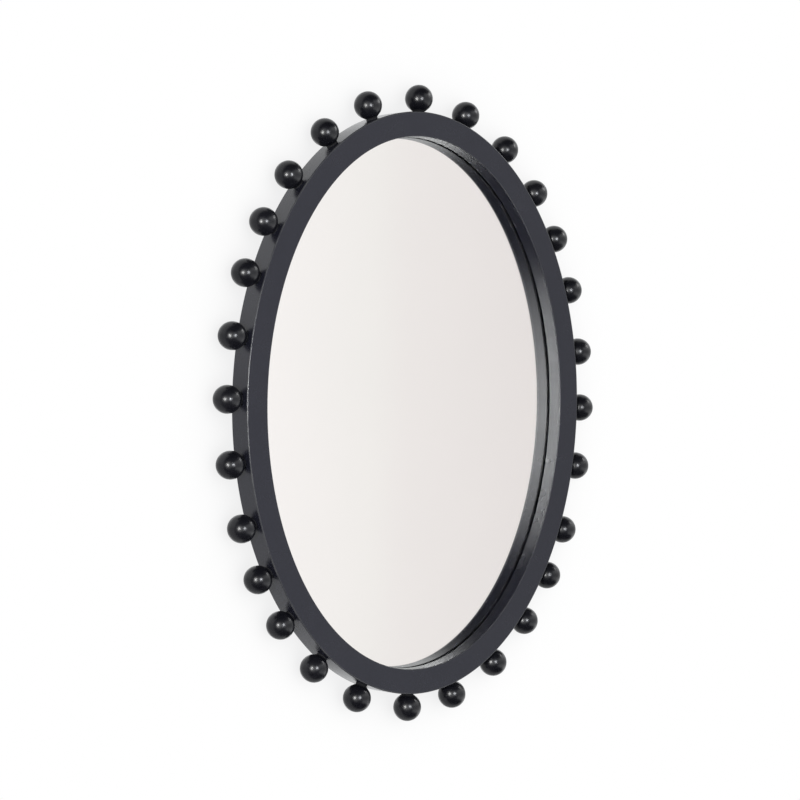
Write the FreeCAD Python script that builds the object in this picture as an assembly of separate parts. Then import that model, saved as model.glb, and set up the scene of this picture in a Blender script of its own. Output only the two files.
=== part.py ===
"""Oval wall mirror: a deep wooden frame with a row of turned balls round its rim.

The origin is the middle of the oval on the wall. X runs to the right as one faces the
mirror, Z runs up, and the room is on the -Y side, so the frame's face looks along -Y.
All lengths are millimetres.
"""
import FreeCAD, Part
import math
import os

V = FreeCAD.Vector

# Oval frame: outer oval, width of its flat face, and depth from face to back.
frame_width = 592.0
frame_height = 832.0
frame_depth = 38.0
side_face_width = 34.0
end_face_width = 35.5
rim_arris = 1.6
sight_arris = 1.0

# Rebate behind the face, which takes the glass and what holds it.
glass_setback = 25.0
rebate_width = 8.0

# Glass, the foam sheet that covers its silvering, and the backing board.
glass_thickness = 4.0
foam_thickness = 1.0
board_thickness = 3.0
glass_side_clearance = 1.0
board_side_clearance = 0.5

# Flat steel points, driven into the rebate wall behind the backing board.
point_length = 16.0
point_width = 6.0
point_thickness = 0.8
point_bite = 9.0
point_count = 16

# Turned balls, set on the rim with a small tapered foot. The real ones are round. These have
# flat sides, in rings from the foot's cone up to the top, which keeps so many of them light.
ball_diameter = 40.0
ball_depth_from_face = 19.0
ball_foot_diameter = 16.0
ball_foot_reach = 20.2
foot_glue_line = 0.2
ball_sides = 14
ball_ring_shares = (0.0, 0.17, 0.32, 0.53, 0.74, 0.93)

# Finish nails, sunk below the balls' tops and filled over.
nail_length = 50.0
nail_width = 1.6
nail_thickness = 1.4
nail_sink = 1.5

# Keyhole hanger plates, let in flush with the back of the frame.
plate_length = 42.0
plate_width = 14.0
plate_thickness = 1.5
plate_side_clearance = 0.2
plate_height_above_middle = 100.0
plate_shift_outwards = 0.7
keyhole_head_diameter = 9.5
keyhole_slot_width = 4.5
keyhole_drop = 10.0
head_room_width = 11.0
head_room_depth = 9.0
screw_spacing = 30.0
screw_shank_diameter = 3.5
screw_head_diameter = 6.5
screw_length = 16.0

# Square felt pads, which keep the back of the frame off the wall.
pad_side = 16.0
pad_thickness = 2.0

overrun = 5.0

# The balls were set by eye, so the gaps along the rim are not quite alike. Each row is a
# quarter of the rim, clockwise from the top as one faces the mirror, in shares of a quarter.
ball_place_shares = (
    (0.007, 0.150, 0.293, 0.433, 0.563, 0.701, 0.861),
    (0.005, 0.155, 0.323, 0.448, 0.581, 0.720, 0.864, 0.998),
    (0.147, 0.292, 0.435, 0.562, 0.692, 0.846),
    (0.001, 0.151, 0.304, 0.436, 0.569, 0.715, 0.857),
)

# Felt pads, as shares of the whole rim, clockwise from the top.
pad_place_shares = (0.09, 0.41, 0.59, 0.91)

# Planes across the depth, from the wall out to the face.
back_plane = -pad_thickness
face_plane = back_plane - frame_depth
glass_front_plane = face_plane + glass_setback
foam_front_plane = glass_front_plane + glass_thickness
board_front_plane = foam_front_plane + foam_thickness
board_back_plane = board_front_plane + board_thickness
ball_plane = face_plane + ball_depth_from_face

# The ovals that follow from the face and the rebate.
sight_width = frame_width - 2 * side_face_width
sight_height = frame_height - 2 * end_face_width
rebate_oval_width = sight_width + 2 * rebate_width
rebate_oval_height = sight_height + 2 * rebate_width


def oval_curve(width, height, y=0.0):
    """An ellipse facing the room that starts at its top and runs clockwise."""
    top = V(0, y, height / 2)
    right = V(width / 2, y, 0)
    return Part.Ellipse(top, right, V(0, y, 0))


def oval_plate(width, height, front, thickness):
    """A flat oval sheet whose front face lies in the plane y = front."""
    outline = Part.Wire(oval_curve(width, height, front).toShape())
    return Part.Face(outline).extrude(V(0, thickness, 0))


def oval_body(sections):
    """A solid through ovals that lie one behind the other, each a width, height and y."""
    wires = []
    for width, height, y in sections:
        wires.append(Part.Wire(oval_curve(width, height, y).toShape()))
    return Part.makeLoft(wires, True, True)


def place_on_oval(width, height, share, y):
    """A placement on an oval, a share of the way round, with its Z axis pointing outwards."""
    curve = oval_curve(width, height, y)
    parameter = curve.parameterAtDistance(share * curve.length(), curve.FirstParameter)
    point = curve.value(parameter)
    along = curve.tangent(parameter)[0]
    turn = math.degrees(math.atan2(-along.z, along.x))
    return FreeCAD.Placement(point, FreeCAD.Rotation(V(0, 1, 0), turn))


def placed(shape, placement):
    """A copy of a shape, moved from the origin to a placement."""
    copy = shape.copy()
    copy.Placement = placement
    return copy


def centred_box(width, depth, height, bottom):
    """A box centred on the Z axis, with its underside at z = bottom."""
    return Part.makeBox(width, depth, height, V(-width / 2, -depth / 2, bottom))


def ball_places():
    """One placement on the rim for each ball, on the line where its foot is centred."""
    places = []
    for quarter, row in enumerate(ball_place_shares):
        for share in row:
            turn_share = (quarter + share) / len(ball_place_shares)
            places.append(place_on_oval(frame_width, frame_height, turn_share, ball_plane))
    return places


def ring_corners(radius, height):
    """The corners of a level ring whose sides run as far inside a circle as outside it."""
    corner_radius = 2 * radius / (1 + math.cos(math.pi / ball_sides))
    corners = []
    for index in range(ball_sides):
        angle = 2 * math.pi * index / ball_sides
        corners.append(V(corner_radius * math.cos(angle), corner_radius * math.sin(angle), height))
    return corners


def flat_face(corners):
    """A flat face with these corners."""
    return Part.Face(Part.makePolygon(corners + corners[:1]))


def turned_ball():
    """One ball on its foot, standing along Z from the rim at z = 0."""
    radius = ball_diameter / 2
    foot_radius = ball_foot_diameter / 2
    centre_height = foot_glue_line + ball_foot_reach
    # The foot tapers along the line that touches the ball and ends at the foot's edge.
    reach = math.hypot(foot_radius, ball_foot_reach)
    touch_angle = math.acos(radius / reach) - math.atan2(ball_foot_reach, foot_radius)
    rings = [ring_corners(foot_radius, foot_glue_line)]
    for share in ball_ring_shares:
        angle = touch_angle + share * (math.pi / 2 - touch_angle)
        height = centre_height + radius * math.sin(angle)
        rings.append(ring_corners(radius * math.cos(angle), height))
    faces = [flat_face(rings[0][::-1]), flat_face(rings[-1])]
    for lower, upper in zip(rings, rings[1:]):
        for index in range(ball_sides):
            faces.append(flat_face([lower[index - 1], lower[index], upper[index], upper[index - 1]]))
    shell = Part.makeShell(faces)
    shell.sewShape()
    return Part.makeSolid(shell)


def finish_nail():
    """One nail along Z, from under the ball's top down into the rim."""
    ball_top = foot_glue_line + ball_foot_reach + ball_diameter / 2
    return centred_box(nail_width, nail_thickness, nail_length, ball_top - nail_sink - nail_length)


def rim_balls():
    """All the balls, each with the hole that its nail has made."""
    ball = turned_ball().cut(finish_nail())
    return Part.makeCompound([placed(ball, place) for place in ball_places()])


def ball_nails():
    """The nails that pin the glued balls to the rim."""
    return Part.makeCompound([placed(finish_nail(), place) for place in ball_places()])


def framing_points():
    """Flat points round the rebate wall, lying on the back of the board."""
    point = centred_box(point_width, point_thickness, point_length, point_bite - point_length)
    middle_plane = board_back_plane + point_thickness / 2
    points = []
    for index in range(point_count):
        share = (index + 0.5) / point_count
        place = place_on_oval(rebate_oval_width, rebate_oval_height, share, middle_plane)
        points.append(placed(point, place))
    return Part.makeCompound(points)


def rounded_bar(width, length, depth):
    """An upright bar with round ends, from y = 0 towards the room by its depth."""
    radius = width / 2
    half = length / 2 - radius
    upper = V(0, 0, half)
    lower = V(0, 0, -half)
    outline = Part.Wire([
        Part.LineSegment(V(radius, 0, -half), V(radius, 0, half)).toShape(),
        Part.Arc(V(radius, 0, half), upper + V(0, 0, radius), V(-radius, 0, half)).toShape(),
        Part.LineSegment(V(-radius, 0, half), V(-radius, 0, -half)).toShape(),
        Part.Arc(V(-radius, 0, -half), lower - V(0, 0, radius), V(radius, 0, -half)).toShape(),
    ])
    return Part.Face(outline).extrude(V(0, -depth, 0))


def hanger_place(side):
    """The middle of a hanger plate's rear face, just past halfway across the frame's back."""
    middle_width = (frame_width + rebate_oval_width) / 2
    middle_height = (frame_height + rebate_oval_height) / 2
    height_share = plate_height_above_middle / (middle_height / 2)
    halfway = middle_width / 2 * math.sqrt(1 - height_share ** 2)
    return V(side * (halfway + plate_shift_outwards), back_plane, plate_height_above_middle)


def hanger_screw():
    """One countersunk screw, head at y = 0, driven forwards into the frame."""
    head_depth = (screw_head_diameter - screw_shank_diameter) / 2
    forwards = V(0, -1, 0)
    head_radius = screw_head_diameter / 2
    shank_radius = screw_shank_diameter / 2
    head = Part.makeCone(head_radius, shank_radius, head_depth, V(0, 0, 0), forwards)
    shank_start = V(0, -head_depth, 0)
    shank = Part.makeCylinder(shank_radius, screw_length - head_depth, shank_start, forwards)
    return head.fuse(shank).removeSplitter()


def screw_places(side):
    """The two screw positions of one hanger plate."""
    middle = hanger_place(side)
    half = screw_spacing / 2
    return [middle + V(0, 0, half), middle - V(0, 0, half)]


def hanger_screws():
    """The screws of both hanger plates."""
    screws = []
    for side in (-1, 1):
        for position in screw_places(side):
            screws.append(hanger_screw().translated(position))
    return Part.makeCompound(screws)


def keyhole():
    """The cut through a plate: a round hole for a screw head and a slot above it."""
    start = V(0, -plate_thickness - overrun, 0)
    backwards = V(0, 1, 0)
    through = plate_thickness + 2 * overrun
    head_centre = start - V(0, 0, keyhole_drop / 2)
    slot_top = start + V(0, 0, keyhole_drop / 2)
    head_hole = Part.makeCylinder(keyhole_head_diameter / 2, through, head_centre, backwards)
    slot_end = Part.makeCylinder(keyhole_slot_width / 2, through, slot_top, backwards)
    slot_corner = head_centre - V(keyhole_slot_width / 2, 0, 0)
    slot = Part.makeBox(keyhole_slot_width, through, keyhole_drop, slot_corner)
    return head_hole.fuse([slot, slot_end]).removeSplitter()


def hanger_plates():
    """Two keyhole plates with round ends, let in flush and countersunk for their screws."""
    plates = []
    for side in (-1, 1):
        plate = rounded_bar(plate_width, plate_length, plate_thickness).cut(keyhole())
        plates.append(plate.translated(hanger_place(side)).cut(hanger_screws()))
    return Part.makeCompound(plates)


def hanger_recess(side):
    """What is routed out of the frame for a plate, and for a screw head behind it."""
    recess_width = plate_width + 2 * plate_side_clearance
    recess_length = plate_length + 2 * plate_side_clearance
    flush = rounded_bar(recess_width, recess_length, plate_thickness)
    room_length = keyhole_drop + head_room_width
    room = rounded_bar(head_room_width, room_length, plate_thickness + head_room_depth)
    return flush.fuse(room).removeSplitter().translated(hanger_place(side))


def frame_blank():
    """The outside of the ring, with its edge eased at the face."""
    return oval_body([
        (frame_width - 2 * rim_arris, frame_height - 2 * rim_arris, face_plane),
        (frame_width, frame_height, face_plane + rim_arris),
        (frame_width, frame_height, back_plane),
    ])


def sight_opening():
    """The opening that shows the glass, with its edge eased at the face."""
    flare = 2 * (sight_arris + overrun)
    return oval_body([
        (sight_width + flare, sight_height + flare, face_plane - overrun),
        (sight_width, sight_height, face_plane + sight_arris),
        (sight_width, sight_height, back_plane + overrun),
    ])


def oval_frame():
    """The wooden ring: flat face, eased edges, rebate, and seats for what is fixed to it."""
    rebate_depth = frame_depth - glass_setback + overrun
    rebate = oval_plate(rebate_oval_width, rebate_oval_height, glass_front_plane, rebate_depth)
    recesses = [hanger_recess(side) for side in (-1, 1)]
    fixings = [hanger_screws(), framing_points(), ball_nails()]
    return frame_blank().cut([sight_opening(), rebate] + recesses + fixings)


def mirror_glass():
    """The sheet of silvered glass, lying against the back of the face."""
    width = rebate_oval_width - 2 * glass_side_clearance
    height = rebate_oval_height - 2 * glass_side_clearance
    return oval_plate(width, height, glass_front_plane, glass_thickness)


def foam_sheet():
    """Thin foam between the silvering and the board, cut to the glass."""
    width = rebate_oval_width - 2 * glass_side_clearance
    height = rebate_oval_height - 2 * glass_side_clearance
    return oval_plate(width, height, foam_front_plane, foam_thickness)


def backing_board():
    """The hardboard that closes the back."""
    width = rebate_oval_width - 2 * board_side_clearance
    height = rebate_oval_height - 2 * board_side_clearance
    return oval_plate(width, height, board_front_plane, board_thickness)


def wall_pads():
    """Felt squares on the back of the frame, which touch the wall."""
    middle_width = (frame_width + rebate_oval_width) / 2
    middle_height = (frame_height + rebate_oval_height) / 2
    pad = centred_box(pad_side, pad_thickness, pad_side, -pad_side / 2)
    middle_plane = back_plane + pad_thickness / 2
    pads = []
    for share in pad_place_shares:
        place = place_on_oval(middle_width, middle_height, share, middle_plane)
        pads.append(placed(pad, place))
    return Part.makeCompound(pads)


parts = {
    "oval_frame": oval_frame(),
    "rim_balls": rim_balls(),
    "ball_nails": ball_nails(),
    "mirror_glass": mirror_glass(),
    "foam_sheet": foam_sheet(),
    "backing_board": backing_board(),
    "framing_points": framing_points(),
    "hanger_plates": hanger_plates(),
    "hanger_screws": hanger_screws(),
    "wall_pads": wall_pads(),
}

os.makedirs("parts", exist_ok=True)
for name, shape in parts.items():
    shape.exportStep("parts/" + name + ".step")
    print(name, "solids", len(shape.Solids), "volume", round(shape.Volume), "valid", shape.isValid())
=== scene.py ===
import math

import bmesh
import bpy
from mathutils import Matrix, Vector


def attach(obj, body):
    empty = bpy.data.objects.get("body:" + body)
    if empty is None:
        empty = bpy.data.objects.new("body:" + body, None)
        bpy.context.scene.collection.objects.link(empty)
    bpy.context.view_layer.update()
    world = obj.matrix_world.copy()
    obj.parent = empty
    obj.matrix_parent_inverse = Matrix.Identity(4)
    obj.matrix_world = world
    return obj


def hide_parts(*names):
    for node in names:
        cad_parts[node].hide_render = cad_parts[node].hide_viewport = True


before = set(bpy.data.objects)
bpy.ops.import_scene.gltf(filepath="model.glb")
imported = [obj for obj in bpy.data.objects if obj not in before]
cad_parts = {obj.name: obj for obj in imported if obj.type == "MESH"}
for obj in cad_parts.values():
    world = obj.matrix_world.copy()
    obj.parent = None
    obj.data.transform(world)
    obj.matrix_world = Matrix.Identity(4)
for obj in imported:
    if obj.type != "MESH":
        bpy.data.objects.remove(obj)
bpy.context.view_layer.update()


# The ring is laminated hardwood: a deep oval with a flat face, square walls and eased edges.
# A rebate behind the face takes the glass, and a pocket routed on each side of the back
# takes a hanger plate. The matt black lacquer is painted paler on the edges, partly as rubbed
# wear and partly as a painted highlight along them, and it is dull in the rebate.

rim_width = 0.592
rim_height = 0.832
sight_width = 0.524
sight_height = 0.761
rebate_oval_width = 0.540
rebate_oval_height = 0.777
face_y = -0.040
back_y = -0.002
glass_front_y = -0.015
rim_easing = 0.0016
sight_easing = 0.0010
rear_easing = 0.0022
rebate_easing = 0.0005
ring_segments = 576
dull_share = 1.01
sharp_angle = math.radians(34)
flat_face_weight = 90


def oval_matrix(width, height, y):
    """What turns a unit circle lying flat into an upright oval that faces the room."""
    return (Matrix.Translation((0, y, 0)) @ Matrix.Rotation(math.pi / 2, 4, "X")
            @ Matrix.Diagonal((width / 2, height / 2, 1, 1)))


def verts_in(items):
    """The vertices among the things that an operator made."""
    return [item for item in items if isinstance(item, bmesh.types.BMVert)]


def grow_loop(shape, edges, widening, heightening, step):
    """Draws a loop of edges out to a new loop, and returns the edges of the new one."""
    grown = bmesh.ops.extrude_edge_only(shape, edges=edges)["geom"]
    verts = verts_in(grown)
    bmesh.ops.scale(shape, vec=(widening, 1, heightening), verts=verts)
    bmesh.ops.translate(shape, vec=(0, step, 0), verts=verts)
    fresh = set(verts)
    return [item for item in grown
            if isinstance(item, bmesh.types.BMEdge) and fresh.issuperset(item.verts)]


def ease(shape, edges, width, segments):
    """Rounds edges and returns the faces that make the rounding."""
    return bmesh.ops.bevel(
        shape, geom=edges, offset=width, offset_type="OFFSET", segments=segments, profile=0.5,
        affect="EDGES", material=-1)["faces"]


ring = bmesh.new()
outline = bmesh.ops.create_circle(ring, segments=ring_segments, radius=1)["verts"]
bmesh.ops.transform(ring, matrix=oval_matrix(rim_width, rim_height, face_y), verts=outline)
section = [ring.edges[:]]
corners = (
    (rim_width, rim_height, face_y),
    (sight_width, sight_height, face_y),
    (sight_width, sight_height, glass_front_y),
    (rebate_oval_width, rebate_oval_height, glass_front_y),
    (rebate_oval_width, rebate_oval_height, back_y),
    (rim_width, rim_height, back_y),
)
for here, following in zip(corners, corners[1:]):
    section.append(grow_loop(ring, section[-1], following[0] / here[0], following[1] / here[1],
                             following[2] - here[2]))
bmesh.ops.bridge_loops(ring, edges=section[0] + section[-1])
eased = ring.faces.layers.float.new("eased_edge")
for edges, width, segments in (
    (section[0], rim_easing, 6),
    (section[1], sight_easing, 5),
    (section[2], rear_easing, 6),
    (section[4], rebate_easing, 2),
    (section[5], rebate_easing, 2),
):
    for face in ease(ring, edges, width, segments):
        face[eased] = 1
hidden = ring.verts.layers.float.new("in_rebate")
for vert in ring.verts:
    share = math.hypot(2 * vert.co.x / rebate_oval_width, 2 * vert.co.z / rebate_oval_height)
    if share < dull_share:
        depth = (vert.co.y - glass_front_y + rear_easing) / rear_easing
        vert[hidden] = min(max(depth, 0), 1)
bmesh.ops.recalc_face_normals(ring, faces=ring.faces)


def place_in_scene(name, data):
    """A new object at the origin, linked to the scene."""
    made = bpy.data.objects.new(name, data)
    bpy.context.scene.collection.objects.link(made)
    return made


def new_object(name, shape):
    """An object at the origin, with its place in its mesh, smooth but for its sharp edges."""
    for face in shape.faces:
        face.smooth = len(face.verts) < 5
    for edge in shape.edges:
        if edge.is_manifold and edge.calc_face_angle() > sharp_angle:
            edge.smooth = False
    mesh = bpy.data.meshes.new(name)
    shape.to_mesh(mesh)
    shape.free()
    return place_in_scene(name, mesh)


def finish_piece(piece, finish, slot, *nodes):
    """Gives a piece its finish, and lets it ride with the mirror in place of its nodes."""
    piece.data.materials.clear()
    piece.data.materials.append(finish)
    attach(piece, "root")
    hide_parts(*nodes)


def shade_evenly(piece):
    """Lets the broad faces of a piece look flat, and only its rounded edges turn."""
    even = piece.modifiers.new("even_shading", "WEIGHTED_NORMAL")
    even.keep_sharp = True
    even.weight = flat_face_weight


def carve(piece, cutter):
    """Cuts one object out of another and throws the cutter away."""
    cut = piece.modifiers.new("carve", "BOOLEAN")
    cut.operation = "DIFFERENCE"
    cut.solver = "EXACT"
    cut.object = cutter
    bpy.context.view_layer.update()
    shown = piece.evaluated_get(bpy.context.evaluated_depsgraph_get())
    carved = bpy.data.meshes.new_from_object(shown)
    piece.modifiers.clear()
    piece.data = carved
    bpy.data.objects.remove(cutter)


def round_ended_bar(width, length, depth, middle):
    """An upright bar with round ends, which reaches from a back plane into the wood."""
    segments = 48
    shape = bmesh.new()
    end = bmesh.ops.create_circle(
        shape, cap_ends=True, segments=segments, radius=width / 2)["verts"]
    bmesh.ops.rotate(shape, matrix=Matrix.Rotation(math.pi / segments, 3, "Z"), verts=end)
    stretch = (length - width) / 2
    for vert in end:
        vert.co.y += math.copysign(stretch, vert.co.y)
    bmesh.ops.rotate(shape, matrix=Matrix.Rotation(math.pi / 2, 3, "X"), verts=end)
    bmesh.ops.translate(shape, vec=middle, verts=end)
    grown = bmesh.ops.extrude_face_region(shape, geom=shape.faces[:])["geom"]
    bmesh.ops.translate(shape, vec=(0, -depth, 0), verts=verts_in(grown))
    bmesh.ops.recalc_face_normals(shape, faces=shape.faces)
    return shape


plate_width = 0.014
plate_length = 0.042
plate_thickness = 0.0015
plate_play = 0.0002
head_room_width = 0.011
head_room_length = 0.021
head_room_depth = 0.009
hanger_x = 0.274815
hanger_z = 0.100
cut_over = 0.001

painted_frame = new_object("painted_frame", ring)
for side in (-1, 1):
    for width, length, depth in (
        (plate_width + 2 * plate_play, plate_length + 2 * plate_play, plate_thickness),
        (head_room_width, head_room_length, plate_thickness + head_room_depth),
    ):
        mouth = (side * hanger_x, back_y + cut_over, hanger_z)
        carve(painted_frame, new_object(
            "router_cut", round_ended_bar(width, length, depth + cut_over, mouth)))
shade_evenly(painted_frame)


def new_finish(name):
    """A new material, with its shader and a way to add nodes to it."""
    finish = bpy.data.materials.new(name)
    finish.use_nodes = True
    tree = finish.node_tree
    return finish, tree, tree.nodes["Principled BSDF"]


def wire(tree, *ends):
    """Joins pairs of sockets, or sets the second of a pair to a number or a colour."""
    for source, target in zip(ends[::2], ends[1::2]):
        if isinstance(source, bpy.types.NodeSocket):
            tree.links.new(source, target)
        elif isinstance(source, tuple):
            target.default_value = (*source, 1)
        else:
            target.default_value = source


def own_place(tree):
    """The place on the object, in metres."""
    return tree.nodes.new("ShaderNodeTexCoord").outputs["Object"]


def stored(tree, name, output="Fac"):
    """What the mesh stores under a name."""
    node = tree.nodes.new("ShaderNodeAttribute")
    node.attribute_name = name
    return node.outputs[output]


def reckon(tree, kind, first, second=0.0):
    """A sum, product or the like of two values."""
    node = tree.nodes.new("ShaderNodeMath")
    node.operation = kind
    wire(tree, first, node.inputs[0], second, node.inputs[1])
    return node.outputs[0]


def grain(tree, scale, detail=2.0, stretch=(1, 1, 1), vector=None, roughness=0.5):
    """Smooth noise at a number of waves a metre, laid on the object or on a given vector."""
    placing = tree.nodes.new("ShaderNodeMapping")
    placing.inputs["Scale"].default_value = stretch
    noise = tree.nodes.new("ShaderNodeTexNoise")
    wire(tree, own_place(tree) if vector is None else vector, placing.inputs["Vector"],
         placing.outputs["Vector"], noise.inputs["Vector"], scale, noise.inputs["Scale"],
         detail, noise.inputs["Detail"], roughness, noise.inputs["Roughness"])
    return noise.outputs["Fac"]


def spread(tree, value, low, high, start=0.3, end=0.7):
    """Spreads a value that runs from start to end over another range."""
    node = tree.nodes.new("ShaderNodeMapRange")
    wire(tree, value, node.inputs["Value"], start, node.inputs["From Min"],
         end, node.inputs["From Max"], low, node.inputs["To Min"], high, node.inputs["To Max"])
    return node.outputs["Result"]


def shades(tree, value, *stops):
    """Colours along a value: each stop is a position and a colour."""
    ramp = tree.nodes.new("ShaderNodeValToRGB")
    points = ramp.color_ramp.elements
    while len(points) < len(stops):
        points.new(0.5)
    for point, (position, colour) in zip(points, stops):
        point.position = position
        point.color = (*colour, 1)
    wire(tree, value, ramp.inputs["Fac"])
    return ramp.outputs["Color"]


def blended(tree, factor, first, second, kind="MIX"):
    """Mixes two colours by a factor."""
    mix = tree.nodes.new("ShaderNodeMix")
    mix.data_type = "RGBA"
    mix.blend_type = kind
    wire(tree, factor, mix.inputs["Factor"], first, mix.inputs[6], second, mix.inputs[7])
    return mix.outputs[2]


def relief(tree, shader, height, depth, strength, below=None):
    """A bump of a real depth, which may lie on top of another."""
    bump = tree.nodes.new("ShaderNodeBump")
    wire(tree, strength, bump.inputs["Strength"], depth, bump.inputs["Distance"],
         height, bump.inputs["Height"], bump.outputs["Normal"], shader.inputs["Normal"])
    if below is not None:
        wire(tree, below.outputs["Normal"], bump.inputs["Normal"])
    return bump


frame_lacquer, tree, shader = new_finish("frame_lacquer")
lacquer = shades(tree, grain(tree, 9, 3),
                 (0.30, (0.0090, 0.0094, 0.0150)), (0.70, (0.0102, 0.0104, 0.0162)))
# The eased edges are painted paler in patches: partly rubbed wear, partly a painted highlight
# along the edges.
edge_wear_and_highlight = reckon(tree, "MULTIPLY", stored(tree, "eased_edge"),
                spread(tree, grain(tree, 45, 3), 0.3, 1.0))
wire(tree, blended(tree, edge_wear_and_highlight, lacquer, (0.040, 0.040, 0.042)), shader.inputs["Base Color"],
     spread(tree, grain(tree, 30, 2), 0.24, 0.28), shader.inputs["Roughness"],
     spread(tree, stored(tree, "in_rebate"), 0.42, 0.02, 0.0, 1.0),
     shader.inputs["Specular IOR Level"])
waves = relief(tree, shader, grain(tree, 60, 2), 0.00006, 0.12)
relief(tree, shader, grain(tree, 900, 2), 0.00002, 0.06, waves)
finish_piece(painted_frame, frame_lacquer, "frame_paint", "oval_frame")


# The balls are turned beech, each with a small tapered foot that is glued to the rim. They
# are set by eye, so their gaps differ a little. They have a smoother, satin black lacquer,
# which is dull low on the foot, where the spray hardly reached.

ball_radius = 0.020
ball_meridians = 44
ball_parallels = 30
ball_foot_radius = 0.008
ball_foot_reach = 0.0202
foot_glue_line = 0.0002
ball_plane_y = -0.021
foot_sink = 0.0006
fillet_flare = 0.0004
ball_spin = 2.4
ball_tone_step = 0.618
ball_place_shares = (
    (0.007, 0.150, 0.293, 0.433, 0.563, 0.701, 0.861),
    (0.005, 0.155, 0.323, 0.448, 0.581, 0.720, 0.864, 0.998),
    (0.147, 0.292, 0.435, 0.562, 0.692, 0.846),
    (0.001, 0.151, 0.304, 0.436, 0.569, 0.715, 0.857),
)


def rim_places(shares):
    """Placements on the rim, Z outwards, at shares of its length, clockwise from the top."""
    steps = 7200
    points = []
    for step in range(steps + 1):
        angle = 2 * math.pi * step / steps
        points.append(Vector((rim_width / 2 * math.sin(angle), 0,
                              rim_height / 2 * math.cos(angle))))
    lengths = [0.0]
    for here, following in zip(points, points[1:]):
        lengths.append(lengths[-1] + (following - here).length)
    places = []
    for share in shares:
        target = share * lengths[-1]
        step = next(index for index in range(steps) if lengths[index + 1] > target)
        part = (target - lengths[step]) / (lengths[step + 1] - lengths[step])
        spot = points[step].lerp(points[step + 1], part)
        along = (points[step + 1] - points[step]).normalized()
        place = Matrix.Rotation(math.atan2(-along.z, along.x), 4, "Y")
        place.translation = spot
        places.append(place)
    return places


ball = bmesh.new()
bmesh.ops.create_uvsphere(ball, u_segments=ball_meridians, v_segments=ball_parallels,
                          radius=ball_radius)
ball_height = foot_glue_line + ball_foot_reach
bmesh.ops.translate(ball, vec=(0, 0, ball_height), verts=ball.verts)
reach = math.hypot(ball_foot_radius, ball_foot_reach)
touch = math.acos(ball_radius / reach) - math.atan2(ball_foot_reach, ball_foot_radius)
touch_height = ball_height + ball_radius * math.sin(touch)
touch_radius = ball_radius * math.cos(touch)
bmesh.ops.bisect_plane(
    ball, geom=ball.verts[:] + ball.edges[:] + ball.faces[:], dist=1e-7,
    plane_co=(0, 0, touch_height), plane_no=(0, 0, -1), clear_outer=True)
radius = touch_radius
for new_radius, new_height in (
    (ball_foot_radius, foot_glue_line + 3 * fillet_flare),
    (ball_foot_radius, foot_glue_line + fillet_flare),
    (ball_foot_radius + fillet_flare, foot_glue_line),
    (ball_foot_radius + 2 * fillet_flare, -foot_sink),
):
    mouth = [edge for edge in ball.edges if edge.is_boundary]
    grown = bmesh.ops.extrude_edge_only(ball, edges=mouth)["geom"]
    verts = verts_in(grown)
    bmesh.ops.scale(ball, vec=(new_radius / radius, new_radius / radius, 1), verts=verts)
    for vert in verts:
        vert.co.z = new_height
    radius = new_radius
bmesh.ops.holes_fill(ball, edges=[edge for edge in ball.edges if edge.is_boundary])
bmesh.ops.recalc_face_normals(ball, faces=ball.faces)
turning = ball.verts.layers.float_vector.new("turning")
for vert in ball.verts:
    vert[turning] = vert.co
one_ball = bpy.data.meshes.new("one_ball")
ball.to_mesh(one_ball)
ball.free()

balls = bmesh.new()
balls.verts.layers.float_vector.new("turning")
tone = balls.verts.layers.float.new("ball_tone")
shares = []
for quarter, row in enumerate(ball_place_shares):
    shares += [(quarter + share) / len(ball_place_shares) for share in row]
for number, place in enumerate(rim_places(shares)):
    first = len(balls.verts)
    balls.from_mesh(one_ball)
    balls.verts.ensure_lookup_table()
    fresh = balls.verts[first:]
    spin = Matrix.Rotation(ball_spin * number, 4, "Z")
    bmesh.ops.transform(balls, verts=fresh,
                        matrix=Matrix.Translation((0, ball_plane_y, 0)) @ place @ spin)
    for vert in fresh:
        vert[tone] = (number * ball_tone_step) % 1
bpy.data.meshes.remove(one_ball)
turned_balls = new_object("turned_balls", balls)

ball_lacquer, tree, shader = new_finish("ball_lacquer")
turned = stored(tree, "turning", "Vector")
rings = grain(tree, 500, 2, (0.02, 0.02, 1), turned)
streaks = grain(tree, 140, 3, (1, 1, 0.25), turned)
dark = shades(tree, streaks,
              (0.30, (0.0024, 0.0025, 0.0040)), (0.70, (0.0036, 0.0036, 0.0054)))
light = shades(tree, streaks,
               (0.30, (0.0036, 0.0037, 0.0054)), (0.70, (0.0050, 0.0050, 0.0070)))
up_the_ball = tree.nodes.new("ShaderNodeSeparateXYZ")
wire(tree, turned, up_the_ball.inputs["Vector"])
starved = spread(tree, up_the_ball.outputs["Z"], 0.6, 0.0, 0.0025, 0.0045)
wire(tree, blended(tree, stored(tree, "ball_tone"), dark, light), shader.inputs["Base Color"],
     reckon(tree, "ADD", spread(tree, streaks, 0.26, 0.30), starved),
     shader.inputs["Roughness"])
shader.inputs["Specular IOR Level"].default_value = 0.40
lathe_marks = relief(tree, shader, rings, 0.00003, 0.3)
relief(tree, shader, grain(tree, 1100, 2), 0.00001, 0.15, lathe_marks)
finish_piece(turned_balls, ball_lacquer, "ball_paint", "rim_balls")


# Finish nails pin the glued balls. They are bright drawn steel wire, sunk below the balls'
# tops and filled over, so nothing of them shows.

nail_steel, tree, shader = new_finish("nail_steel")
drawn = grain(tree, 700, 2)
wire(tree, shades(tree, drawn, (0.3, (0.42, 0.42, 0.43)), (0.7, (0.58, 0.58, 0.59))),
     shader.inputs["Base Color"], spread(tree, drawn, 0.25, 0.4), shader.inputs["Roughness"])
shader.inputs["Metallic"].default_value = 1
relief(tree, shader, drawn, 0.00001, 0.4)


def dress_node(name, finish):
    """Gives a piece of the model, whose shape is right as it is, its finish."""
    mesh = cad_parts[name].data
    mesh.materials.clear()
    mesh.materials.append(finish)


dress_node("ball_nails", nail_steel)


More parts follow.
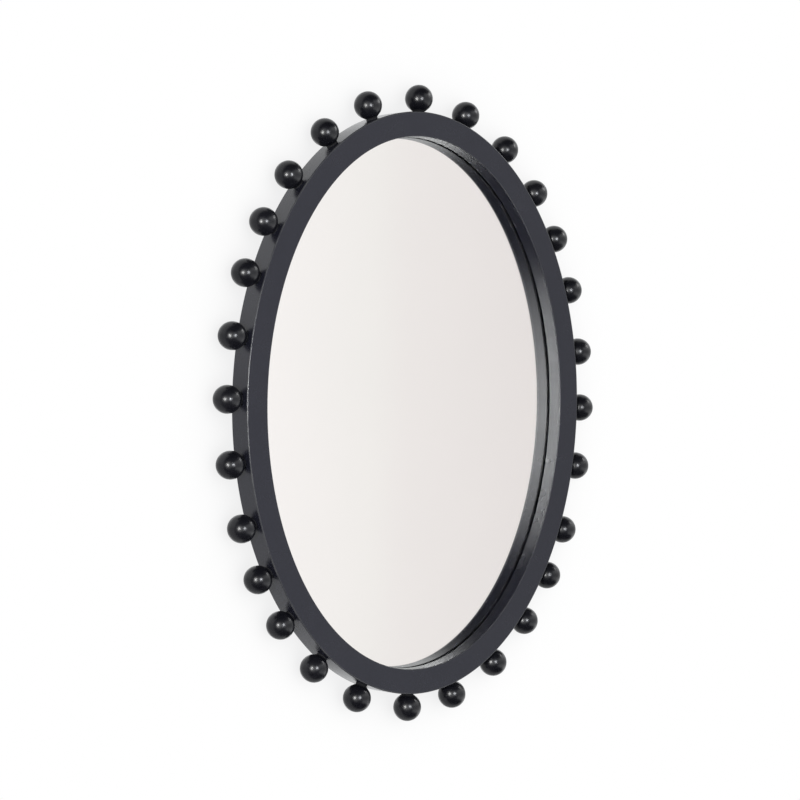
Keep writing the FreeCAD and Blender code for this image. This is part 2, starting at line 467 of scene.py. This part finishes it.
# The mirror is 4 mm float glass, cut to an oval with seamed edges, and silvered on its back.
# Its thickness shows as a double dark line where it meets the inner wall of the ring.

glass_play = 0.001
glass_thickness = 0.004
seam = 0.0004
silver_inset = 0.00006
silver_thickness = 0.00004
sheet_segments = 360


def oval_sheet(width, height, front, thickness, easing):
    """A flat oval sheet with lightly rounded edges."""
    shape = bmesh.new()
    loop = bmesh.ops.create_circle(
        shape, cap_ends=True, segments=sheet_segments, radius=1)["verts"]
    bmesh.ops.transform(shape, matrix=oval_matrix(width, height, front), verts=loop)
    grown = bmesh.ops.extrude_face_region(shape, geom=shape.faces[:])["geom"]
    bmesh.ops.translate(shape, vec=(0, thickness, 0), verts=verts_in(grown))
    bmesh.ops.recalc_face_normals(shape, faces=shape.faces)
    if easing:
        rims = [edge for edge in shape.edges
                if any(len(face.verts) > 4 for face in edge.link_faces)]
        ease(shape, rims, easing, 2)
    return shape


glass_width = rebate_oval_width - 2 * glass_play
glass_height = rebate_oval_height - 2 * glass_play
glass_sheet = new_object("glass_sheet", oval_sheet(
    glass_width, glass_height, glass_front_y, glass_thickness, seam))
shade_evenly(glass_sheet)
clear_glass, tree, shader = new_finish("clear_glass")
shader.inputs["Transmission Weight"].default_value = 1
shader.inputs["Roughness"].default_value = 0
shader.inputs["IOR"].default_value = 1.52
wire(tree, shades(tree, grain(tree, 2.5, 1),
                  (0.3, (0.985, 0.992, 0.986)), (0.7, (0.992, 0.995, 0.991))),
     shader.inputs["Base Color"])
relief(tree, shader, grain(tree, 3, 1), 0.00002, 0.1)
finish_piece(glass_sheet, clear_glass, "mirror", "mirror_glass")

silvering = new_object("silvering", oval_sheet(
    glass_width - 2 * seam, glass_height - 2 * seam,
    glass_front_y + glass_thickness - silver_inset - silver_thickness, silver_thickness, 0))
silver, tree, shader = new_finish("silver")
shader.inputs["Metallic"].default_value = 1
shader.inputs["Roughness"].default_value = 0
wire(tree, shades(tree, grain(tree, 6, 2), (0.3, (0.955, 0.955, 0.950)),
                  (0.7, (0.965, 0.964, 0.958))), shader.inputs["Base Color"])
finish_piece(silvering, silver, "mirror", "mirror_glass")


# A sheet of thin white foam keeps the silvering from rubbing on the board. Only its edge
# could be seen, down the gap beside the board.

packing_foam, tree, shader = new_finish("packing_foam")
cells = tree.nodes.new("ShaderNodeTexVoronoi")
bubbles = cells.outputs["Distance"]
wire(tree, own_place(tree), cells.inputs["Vector"], 900, cells.inputs["Scale"],
     shades(tree, bubbles, (0.0, (0.86, 0.86, 0.85)), (0.8, (0.70, 0.70, 0.69))),
     shader.inputs["Base Color"],
     spread(tree, bubbles, 0.7, 0.9, 0.0, 0.8), shader.inputs["Roughness"])
relief(tree, shader, bubbles, 0.0002, 0.5)
dress_node("foam_sheet", packing_foam)


# The back is closed by 3 mm hardboard, smooth side out: pressed wood fibre, mid brown, with
# darker flecks and a faint sheen from the press. Its edge is sawn and a little furry.

board_play = 0.0005
board_front_y = -0.010
board_thickness = 0.003
board_easing = 0.0002
hardboard_back = new_object("hardboard_back", oval_sheet(
    rebate_oval_width - 2 * board_play, rebate_oval_height - 2 * board_play, board_front_y,
    board_thickness, board_easing))
shade_evenly(hardboard_back)
hardboard, tree, shader = new_finish("hardboard")
fibres = grain(tree, 260, 6, roughness=0.7)
clouds = grain(tree, 14, 4)
flecks = tree.nodes.new("ShaderNodeTexVoronoi")
wire(tree, own_place(tree), flecks.inputs["Vector"], 150, flecks.inputs["Scale"])
pressed = shades(tree, fibres, (0.25, (0.115, 0.062, 0.030)), (0.5, (0.190, 0.105, 0.052)),
                 (0.75, (0.270, 0.160, 0.085)))
uneven = shades(tree, clouds, (0.3, (0.80, 0.80, 0.80)), (0.7, (1.0, 1.0, 1.0)))
mottled = blended(tree, 1.0, pressed, uneven, "MULTIPLY")
fleck_mask = spread(tree, flecks.outputs["Distance"], 0.55, 0.0, 0.04, 0.16)
wire(tree, blended(tree, fleck_mask, mottled, (0.070, 0.036, 0.018)),
     shader.inputs["Base Color"], spread(tree, fibres, 0.42, 0.62), shader.inputs["Roughness"])
pressing = relief(tree, shader, fibres, 0.00008, 0.5)
relief(tree, shader, clouds, 0.0004, 0.2, pressing)
finish_piece(hardboard_back, hardboard, "hardboard", "backing_board")


# Flat steel points are driven into the rebate wall behind the board and hold it down. They
# are blued spring strip, a little scuffed where the driver pressed on them.

strip_easing = 0.00012
flat_angle = math.radians(1)
crease_angle = math.radians(50)


def eased_copy(node, name, width, segments=2):
    """A clean copy of a piece of the model, with its sharp edges lightly rounded."""
    shape = bmesh.new()
    shape.from_mesh(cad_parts[node].data)
    bmesh.ops.remove_doubles(shape, verts=shape.verts, dist=1e-6)
    bmesh.ops.dissolve_limit(shape, angle_limit=flat_angle, verts=shape.verts,
                             edges=shape.edges)
    sharp = [edge for edge in shape.edges
             if edge.is_manifold and edge.calc_face_angle() > crease_angle]
    ease(shape, sharp, width, segments)
    piece = new_object(name, shape)
    shade_evenly(piece)
    return piece


steel_points = eased_copy("framing_points", "steel_points", strip_easing)
blued_steel, tree, shader = new_finish("blued_steel")
scuffs = grain(tree, 420, 4)
wire(tree, shades(tree, scuffs, (0.30, (0.14, 0.15, 0.17)), (0.60, (0.26, 0.27, 0.29)),
                  (0.75, (0.46, 0.46, 0.47))), shader.inputs["Base Color"],
     spread(tree, scuffs, 0.32, 0.5), shader.inputs["Roughness"])
shader.inputs["Metallic"].default_value = 1
relief(tree, shader, scuffs, 0.00003, 0.4)
finish_piece(steel_points, blued_steel, "point_steel", "framing_points")


# Two keyhole plates, stamped from 1.5 mm steel and zinc plated, lie flush in their pockets.
# The plating is bright with a faint bluish cloud, and worn to a line round the keyholes.

plate_easing = 0.00018
keyhole_plates = eased_copy("hanger_plates", "keyhole_plates", plate_easing)
zinc, tree, shader = new_finish("zinc")
bloom = grain(tree, 90, 4)
scratches = grain(tree, 260, 2, (1, 1, 0.06))
wire(tree, blended(tree, spread(tree, scratches, 0.0, 0.35),
                   shades(tree, bloom, (0.30, (0.46, 0.48, 0.52)), (0.70, (0.66, 0.67, 0.69))),
                   (0.80, 0.80, 0.79)), shader.inputs["Base Color"],
     spread(tree, bloom, 0.26, 0.42), shader.inputs["Roughness"])
shader.inputs["Metallic"].default_value = 1
relief(tree, shader, scratches, 0.00002, 0.4)
finish_piece(keyhole_plates, zinc, "plate_steel", "hanger_plates")


# Each plate has two countersunk wood screws with a cross recess, driven home by hand, so
# the crosses stand at different turns. They are zinc plated like the plates.

screw_head_radius = 0.00325
screw_shank_radius = 0.00175
screw_length = 0.016
screw_spacing = 0.030
screw_head_land = 0.0002
screw_tip_radius = 0.0003
screw_thread_share = 0.75
screw_tip_share = 0.1
recess_span = 0.0036
recess_width = 0.0008
recess_depth = 0.0013
recess_taper = 0.35
screw_turns = (0.3, 1.1, 0.7, 1.9)


def countersunk_screw():
    """One screw along Y, its flat head at y = 0 and its shank towards the room."""
    head_depth = screw_head_radius - screw_shank_radius
    shape = bmesh.new()
    bmesh.ops.create_cone(shape, cap_ends=True, segments=40, radius1=screw_head_radius,
                          radius2=screw_head_radius, depth=screw_head_land)
    bmesh.ops.translate(shape, vec=(0, 0, screw_head_land / 2), verts=shape.verts)
    for radius, step in ((screw_shank_radius, head_depth - screw_head_land),
                         (screw_shank_radius, screw_length * screw_thread_share),
                         (screw_tip_radius, screw_length * screw_tip_share)):
        top = max(shape.faces, key=lambda face: face.calc_center_median().z)
        grown = bmesh.ops.extrude_face_region(shape, geom=[top])["geom"]
        verts = verts_in(grown)
        bmesh.ops.delete(shape, geom=[top], context="FACES")
        middle = verts[0].co.z + step
        width = math.hypot(verts[0].co.x, verts[0].co.y)
        bmesh.ops.scale(shape, vec=(radius / width, radius / width, 1), verts=verts)
        for vert in verts:
            vert.co.z = middle
    bmesh.ops.recalc_face_normals(shape, faces=shape.faces)
    bmesh.ops.rotate(shape, matrix=Matrix.Rotation(math.pi / 2, 3, "X"), verts=shape.verts)
    return shape


def driver_blade(turn):
    """One of the two crossed blades of a driver's tip, which narrows with depth."""
    shape = bmesh.new()
    blade = bmesh.ops.create_cube(shape, size=1)["verts"]
    bmesh.ops.scale(shape, vec=(recess_span, 2 * recess_depth, recess_width), verts=blade)
    for vert in blade:
        if vert.co.y < 0:
            vert.co.x *= recess_taper
    bmesh.ops.rotate(shape, matrix=Matrix.Rotation(turn, 3, "Y"), verts=blade)
    return shape


screw_heads = bmesh.new()
for number, turn in enumerate(screw_turns):
    screw = new_object("screw", countersunk_screw())
    for angle in (turn, turn + math.pi / 2):
        carve(screw, new_object("driver", driver_blade(angle)))
    side = -1 if number < 2 else 1
    rise = screw_spacing / 2 if number % 2 else -screw_spacing / 2
    screw.data.transform(Matrix.Translation((side * hanger_x, back_y, hanger_z + rise)))
    screw_heads.from_mesh(screw.data)
    bpy.data.objects.remove(screw)
plate_screws = new_object("plate_screws", screw_heads)
screw_zinc, tree, shader = new_finish("screw_zinc")
plating = grain(tree, 600, 3)
wire(tree, shades(tree, plating, (0.30, (0.50, 0.51, 0.53)), (0.70, (0.72, 0.72, 0.72))),
     shader.inputs["Base Color"], spread(tree, plating, 0.22, 0.36), shader.inputs["Roughness"])
shader.inputs["Metallic"].default_value = 1
relief(tree, shader, plating, 0.00001, 0.4)
finish_piece(plate_screws, screw_zinc, "screw_steel", "hanger_screws")


# Four squares of dark wool felt, 2 mm thick, are stuck to the back of the ring and keep it
# off the wall. Their corners are a little rounded and their faces are furry.

pad_easing = 0.0005
felt_pads = eased_copy("wall_pads", "felt_pads", pad_easing, 3)
felt, tree, shader = new_finish("felt")
wool = grain(tree, 1400, 5, roughness=0.75)
matted = grain(tree, 220, 3)
strands = shades(tree, wool, (0.30, (0.020, 0.020, 0.021)), (0.70, (0.075, 0.074, 0.073)))
wire(tree, blended(tree, spread(tree, matted, 0.0, 0.4), strands, (0.10, 0.10, 0.098)),
     shader.inputs["Base Color"], spread(tree, wool, 0.85, 1.0), shader.inputs["Roughness"])
shader.inputs["Sheen Weight"].default_value = 0.3
nap = relief(tree, shader, wool, 0.0003, 0.7)
relief(tree, shader, matted, 0.0004, 0.4, nap)
finish_piece(felt_pads, felt, "felt", "wall_pads")


# The mirror hangs in a plain white studio. The wall shows a soft halo of shade close to the
# frame, and is left out behind the mirror's back, so that the back can be looked at too.
# The pale floor fades to white far from the mirror.

wall_gap = 0.0006
wall_half_width = 3
halo_reach = 0.09
floor_z = -1.45
floor_half_width = 14


def studio_plane(name, half_width, matrix):
    """A large square that closes the room on one side."""
    mesh = bpy.data.meshes.new(name)
    square = bmesh.new()
    bmesh.ops.create_grid(square, x_segments=1, y_segments=1, size=half_width, matrix=matrix)
    square.to_mesh(mesh)
    square.free()
    return place_in_scene(name, mesh)


wall = studio_plane("studio_wall", wall_half_width, Matrix.Translation((0, wall_gap, 0))
                    @ Matrix.Rotation(math.pi / 2, 4, "X"))
wall.visible_diffuse = wall.visible_glossy = False
wall.visible_transmission = wall.visible_shadow = False

wall_paint = bpy.data.materials.new("wall_paint")
wall_paint.use_nodes = True
tree = wall_paint.node_tree
tree.nodes.clear()
nearness = tree.nodes.new("ShaderNodeAmbientOcclusion")
nearness.samples = 12
nearness.inputs["Distance"].default_value = halo_reach
glow = tree.nodes.new("ShaderNodeEmission")
wire(tree, shades(tree, nearness.outputs["AO"],
                  (0.35, (0.85, 0.85, 0.853)), (0.95, (1.0, 1.0, 1.0))), glow.inputs["Color"])
clear = tree.nodes.new("ShaderNodeBsdfTransparent")
facing = tree.nodes.new("ShaderNodeNewGeometry")
either = tree.nodes.new("ShaderNodeMixShader")
output = tree.nodes.new("ShaderNodeOutputMaterial")
wire(tree, facing.outputs["Backfacing"], either.inputs[0], glow.outputs[0], either.inputs[1],
     clear.outputs[0], either.inputs[2], either.outputs[0], output.inputs["Surface"])
wall.data.materials.append(wall_paint)

floor = studio_plane("studio_floor", floor_half_width, Matrix.Translation((0, 0, floor_z)))
floor.visible_glossy = floor.visible_transmission = False
pale_floor, tree, shader = new_finish("pale_floor")
reach = tree.nodes.new("ShaderNodeVectorMath")
reach.operation = "LENGTH"
wire(tree, own_place(tree), reach.inputs[0])
far = spread(tree, reach.outputs["Value"], 0.0, 1.0, 2.5, 5.5)
pale = shades(tree, grain(tree, 3, 2), (0.3, (0.80, 0.80, 0.79)), (0.7, (0.84, 0.84, 0.83)))
wire(tree, blended(tree, far, pale, (0.0, 0.0, 0.0)), shader.inputs["Base Color"],
     blended(tree, far, (0.28, 0.28, 0.28), (1.0, 1.0, 1.0)), shader.inputs["Emission Color"])
shader.inputs["Emission Strength"].default_value = 1
shader.inputs["Specular IOR Level"].default_value = 0
floor.data.materials.append(pale_floor)


# The room. The camera sees it white, and the glass sees it greyer on the left and warmer at
# the far right. The paint's gloss sees the lit wall behind, the pale right side, the bright
# curtain on the left, and otherwise the dim half of the room.

cool_white = (0.98, 0.99, 1.0)
curtain_direction = Vector((-0.66, -0.75, 0.03)).normalized()
dim_half = 0.03
right_in_mirror = 1.2
curtain_in_mirror = 1.9
depth_of_paint_in_mirror = 4.5

room = bpy.data.worlds.new("room")
bpy.context.scene.world = room
room.use_nodes = True
tree = room.node_tree
tree.nodes.clear()
output = tree.nodes.new("ShaderNodeOutputWorld")
sight = tree.nodes.new("ShaderNodeLightPath")
direction = tree.nodes.new("ShaderNodeTexCoord").outputs["Generated"]
ray = tree.nodes.new("ShaderNodeSeparateXYZ")
wire(tree, direction, ray.inputs["Vector"])


def glow_of(colour, strength=1.0):
    """A light of one colour, or of a colour or strength that changes with direction."""
    node = tree.nodes.new("ShaderNodeBackground")
    wire(tree, colour, node.inputs["Color"], strength, node.inputs["Strength"])
    return node.outputs[0]


forward = reckon(tree, "MAXIMUM", reckon(tree, "MULTIPLY", ray.outputs["Y"], -1.0), 0.001)
sideways = reckon(tree, "DIVIDE", ray.outputs["X"], forward)
glass_sees = shades(
    tree, spread(tree, sideways, 0.0, 1.0, -1.0, 0.86),
    (0.0, (0.560, 0.550, 0.545)), (0.50, (0.760, 0.745, 0.735)), (0.871, (1.0, 0.951, 0.941)),
    (0.899, (0.974, 0.934, 0.926)), (0.935, (0.890, 0.861, 0.840)),
    (0.943, (0.864, 0.821, 0.808)), (1.0, (0.774, 0.721, 0.714)))
wall_behind = reckon(tree, "MULTIPLY", spread(tree, ray.outputs["Y"], 0.0, 1.05, -0.12, 0.06),
                     spread(tree, ray.outputs["Z"], 0.7, 1.0, 0.05, 0.30))
height = reckon(tree, "ABSOLUTE", ray.outputs["Z"])
pale_right = reckon(tree, "MULTIPLY", spread(tree, sideways, 0.0, 1.25, 0.05, 0.33),
                    reckon(tree, "MULTIPLY", spread(tree, height, 0.60, 1.25, 0.12, 0.36),
                           spread(tree, height, 1.0, 0.0, 0.46, 0.58)))
towards = tree.nodes.new("ShaderNodeVectorMath")
towards.operation = "DOT_PRODUCT"
towards.inputs[1].default_value = curtain_direction
wire(tree, direction, towards.inputs[0])
# The curtain is stronger for paint that is seen in the mirror than for paint seen directly.
bright_curtain = reckon(tree, "MULTIPLY",
                        spread(tree, towards.outputs["Value"], 0.0, 1.0, 0.87, 0.975),
                        spread(tree, sight.outputs["Ray Depth"], 0.9, 3.2, 1.5, 3.5))
gloss_sees = reckon(tree, "MAXIMUM", reckon(tree, "MAXIMUM", wall_behind, pale_right),
                    reckon(tree, "MAXIMUM", bright_curtain, dim_half))
gloss_sees_mirrored = reckon(
    tree, "MAXIMUM", reckon(tree, "MULTIPLY", pale_right, right_in_mirror),
    reckon(tree, "MAXIMUM", reckon(tree, "MULTIPLY", bright_curtain, curtain_in_mirror),
           dim_half))
past_the_paint = reckon(tree, "GREATER_THAN", sight.outputs["Ray Depth"],
                        depth_of_paint_in_mirror)
seen = glow_of((0.97, 0.985, 1.0), 0.4)
for light, rays in (
    (glow_of(cool_white, gloss_sees), sight.outputs["Is Glossy Ray"]),
    (glow_of(glass_sees, 1.03), sight.outputs["Is Transmission Ray"]),
    (glow_of(cool_white, gloss_sees_mirrored),
     reckon(tree, "MULTIPLY", sight.outputs["Is Transmission Ray"], past_the_paint)),
    (glow_of((1.0, 1.0, 1.0)), sight.outputs["Is Camera Ray"]),
):
    mix = tree.nodes.new("ShaderNodeMixShader")
    wire(tree, rays, mix.inputs[0], seen, mix.inputs[1], light, mix.inputs[2])
    seen = mix.outputs[0]
wire(tree, seen, output.inputs["Surface"])


# Two soft boxes stand in front, a large one to the left of the camera and a smaller one
# opposite the mirror, and a weak lamp high on the right.

def soft_box(name, place, width, height, watts, colour):
    """A lamp that faces the middle of the mirror."""
    data = bpy.data.lights.new(name, "AREA")
    data.shape = "RECTANGLE"
    data.size = width
    data.size_y = height
    data.energy = watts
    data.color = colour
    lamp = place_in_scene(name, data)
    lamp.location = place
    lamp.rotation_euler = (-Vector(place)).to_track_quat("-Z", "Y").to_euler()


soft_box("large_left", place=(-2.92, -2.11, 0.05), width=0.60, height=0.80, watts=88,
         colour=(1.0, 1.0, 0.985))
soft_box("small_front", place=(-0.76, -3.72, 0.20), width=0.50, height=0.60, watts=87,
         colour=(0.94, 0.96, 1.0))
soft_box("high_right", place=(2.20, -0.85, 1.40), width=0.60, height=0.60, watts=7,
         colour=(1.0, 1.0, 1.0))


# The camera stands to the left of the mirror, level with its middle, with a long lens.

looked_at = Vector((-0.03502, -0.040, 0.00366))
turn = math.radians(-36.969)
tilt = math.radians(-0.052)
roll = math.radians(0.948)
distance = 4.05987
focal_pixels = 2856.86
frame_pixels = 800
lens = bpy.data.cameras.new("camera")
lens.sensor_width = 36
lens.lens = focal_pixels / frame_pixels * lens.sensor_width
camera = place_in_scene("camera", lens)
aim = (Matrix.Rotation(turn, 4, "Z") @ Matrix.Rotation(math.pi / 2 - tilt, 4, "X")
       @ Matrix.Rotation(roll, 4, "Z"))
backwards = Vector((math.sin(turn) * math.cos(tilt), -math.cos(turn) * math.cos(tilt),
                    math.sin(tilt)))
camera.matrix_world = Matrix.Translation(looked_at + distance * backwards) @ aim
bpy.context.scene.camera = camera
bpy.context.scene.view_settings.view_transform = "Standard"
